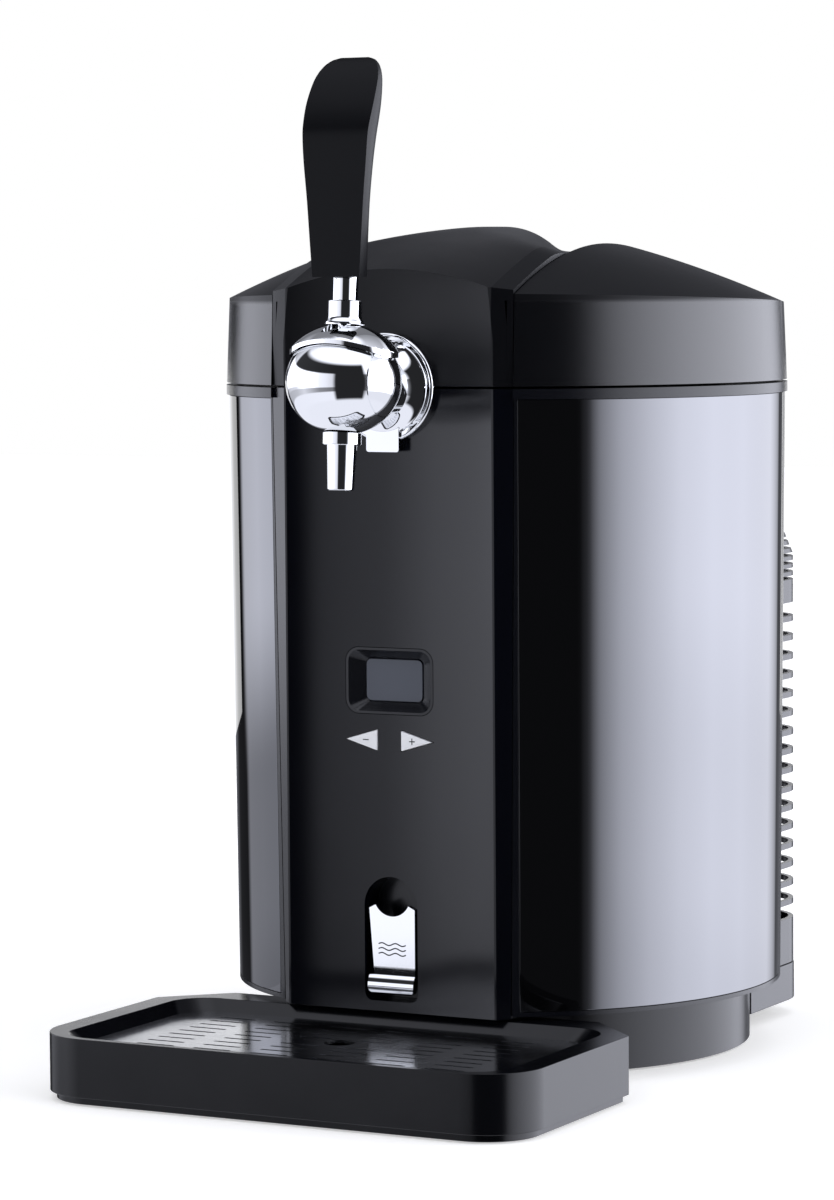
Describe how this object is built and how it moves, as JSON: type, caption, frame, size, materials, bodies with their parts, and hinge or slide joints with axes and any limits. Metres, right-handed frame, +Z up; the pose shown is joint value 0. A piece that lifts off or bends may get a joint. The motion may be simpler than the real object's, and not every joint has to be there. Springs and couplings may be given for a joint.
{
  "type": "mini keg beer dispenser",
  "caption": "Cooled countertop dispenser for one small keg: hinged domed lid, chrome lever tap, sliding drip tray, key display, drain slide and a fan-cooled rear housing",
  "frame": {"origin": "middle of the dispenser's footprint box, on the floor", "axes": "+Z up, -Y to the front where the tap and the drip tray are, +X to the dispenser's own right as seen from the front"},
  "size_m": [0.2736, 0.3956, 0.4754],
  "materials": {
    "satin_black": "satin",
    "grain_black": "fine matte grain",
    "gloss_black": "mirror gloss",
    "soft_black": "matte",
    "rubber_black": "matte",
    "silver_plastic": "satin",
    "display_glass": "gloss",
    "chrome": "polished",
    "polished_steel": "polished",
    "aluminium": "satin",
    "brass": "machined",
    "white_foam": "matte",
    "white_ceramic": "matte",
    "board_green": "satin"
  },
  "bodies": {
    "cabinet": {"base_foot": "satin_black", "rubber_pad_right_rear": "rubber_black", "rubber_pad_left_rear": "rubber_black", "rubber_pad_left_front": "rubber_black", "rubber_pad_right_front": "rubber_black", "base_plate": "satin_black", "body_shell": "satin_black", "side_panel_right": "gloss_black", "side_panel_left": "gloss_black", "deck_ring": "satin_black", "front_panel": "satin_black", "display_frame": "satin_black", "display_window": "display_glass", "control_board": "board_green", "drain_pocket": "satin_black", "drain_spout": "rubber_black", "keg_chamber": "aluminium", "cold_block": "aluminium", "thermoelectric_module": "white_ceramic", "heat_sink": "aluminium", "fan_frame": "soft_black", "foam_jacket": "white_foam", "rear_housing": "satin_black", "power_inlet": "soft_black", "rear_foot": "satin_black", "power_board": "board_green", "hinge_bracket": "satin_black", "hinge_pin": "polished_steel", "tap_flange": "chrome", "tap_shank": "polished_steel", "keg_coupler": "soft_black", "gas_regulator": "brass", "gas_cartridge_sleeve": "aluminium", "tap_ball": "chrome", "lever_pin": "polished_steel", "tap_bonnet": "chrome", "tap_nozzle": "chrome"},
    "lid": {"lid_shell": "grain_black", "lid_centre_cover": "grain_black", "lid_inner_pan": "grain_black", "lid_gasket": "rubber_black", "lid_hinge_arm": "satin_black"},
    "lever": {"lever_stem": "chrome", "tap_handle": "grain_black"},
    "plunger": {"valve_plunger": "polished_steel"},
    "minus_key": {"minus_button": "silver_plastic"},
    "plus_key": {"plus_button": "silver_plastic"},
    "drain_gate": {"drain_slide": "chrome"},
    "fan": {"fan_rotor": "soft_black"},
    "knob": {"regulator_knob": "soft_black"},
    "tray": {"drip_tray": "satin_black"},
    "plate": {"drip_plate": "polished_steel"}
  },
  "joints": [
    {"name": "lid_hinge", "type": "hinge", "parent": "cabinet", "child": "lid", "pos_m": [0, 0.19135, 0.3205], "axis": [-1, 0, 0], "range_deg": [0, 85]},
    {"name": "tap_lever", "type": "hinge", "parent": "cabinet", "child": "lever", "pos_m": [0, -0.11665, 0.3298], "axis": [1, 0, 0], "range_deg": [0, 26]},
    {"name": "valve_travel", "type": "slide", "parent": "cabinet", "child": "plunger", "axis": [0, 1, 0], "range_m": [0, 0.0041]},
    {"name": "minus_press", "type": "slide", "parent": "cabinet", "child": "minus_key", "axis": [0, 1, 0], "range_m": [0, 0.0012], "stiffness_N_per_m": 400, "springref_m": -0.0005},
    {"name": "plus_press", "type": "slide", "parent": "cabinet", "child": "plus_key", "axis": [0, 1, 0], "range_m": [0, 0.0012], "stiffness_N_per_m": 400, "springref_m": -0.0005},
    {"name": "drain_lift", "type": "slide", "parent": "cabinet", "child": "drain_gate", "axis": [0, 0, 1], "range_m": [0, 0.006]},
    {"name": "fan_spin", "type": "hinge", "parent": "cabinet", "child": "fan", "pos_m": [0, 0.18115, 0.145], "axis": [0, 1, 0], "continuous": true},
    {"name": "regulator_turn", "type": "hinge", "parent": "cabinet", "child": "knob", "pos_m": [0, 0.04935, 0.363], "axis": [0, 0, 1], "range_deg": [0, 270]},
    {"name": "tray_slide", "type": "slide", "parent": "cabinet", "child": "tray", "axis": [0, -1, 0], "range_m": [0, 0.12]},
    {"name": "plate_lift", "type": "slide", "parent": "tray", "child": "plate", "axis": [0, 0, 1], "range_m": [0, 0.04]}
  ],
  "couplings": [
    {"joint": "valve_travel", "follows": "tap_lever", "m_per_rad": 0.009}
  ]
}
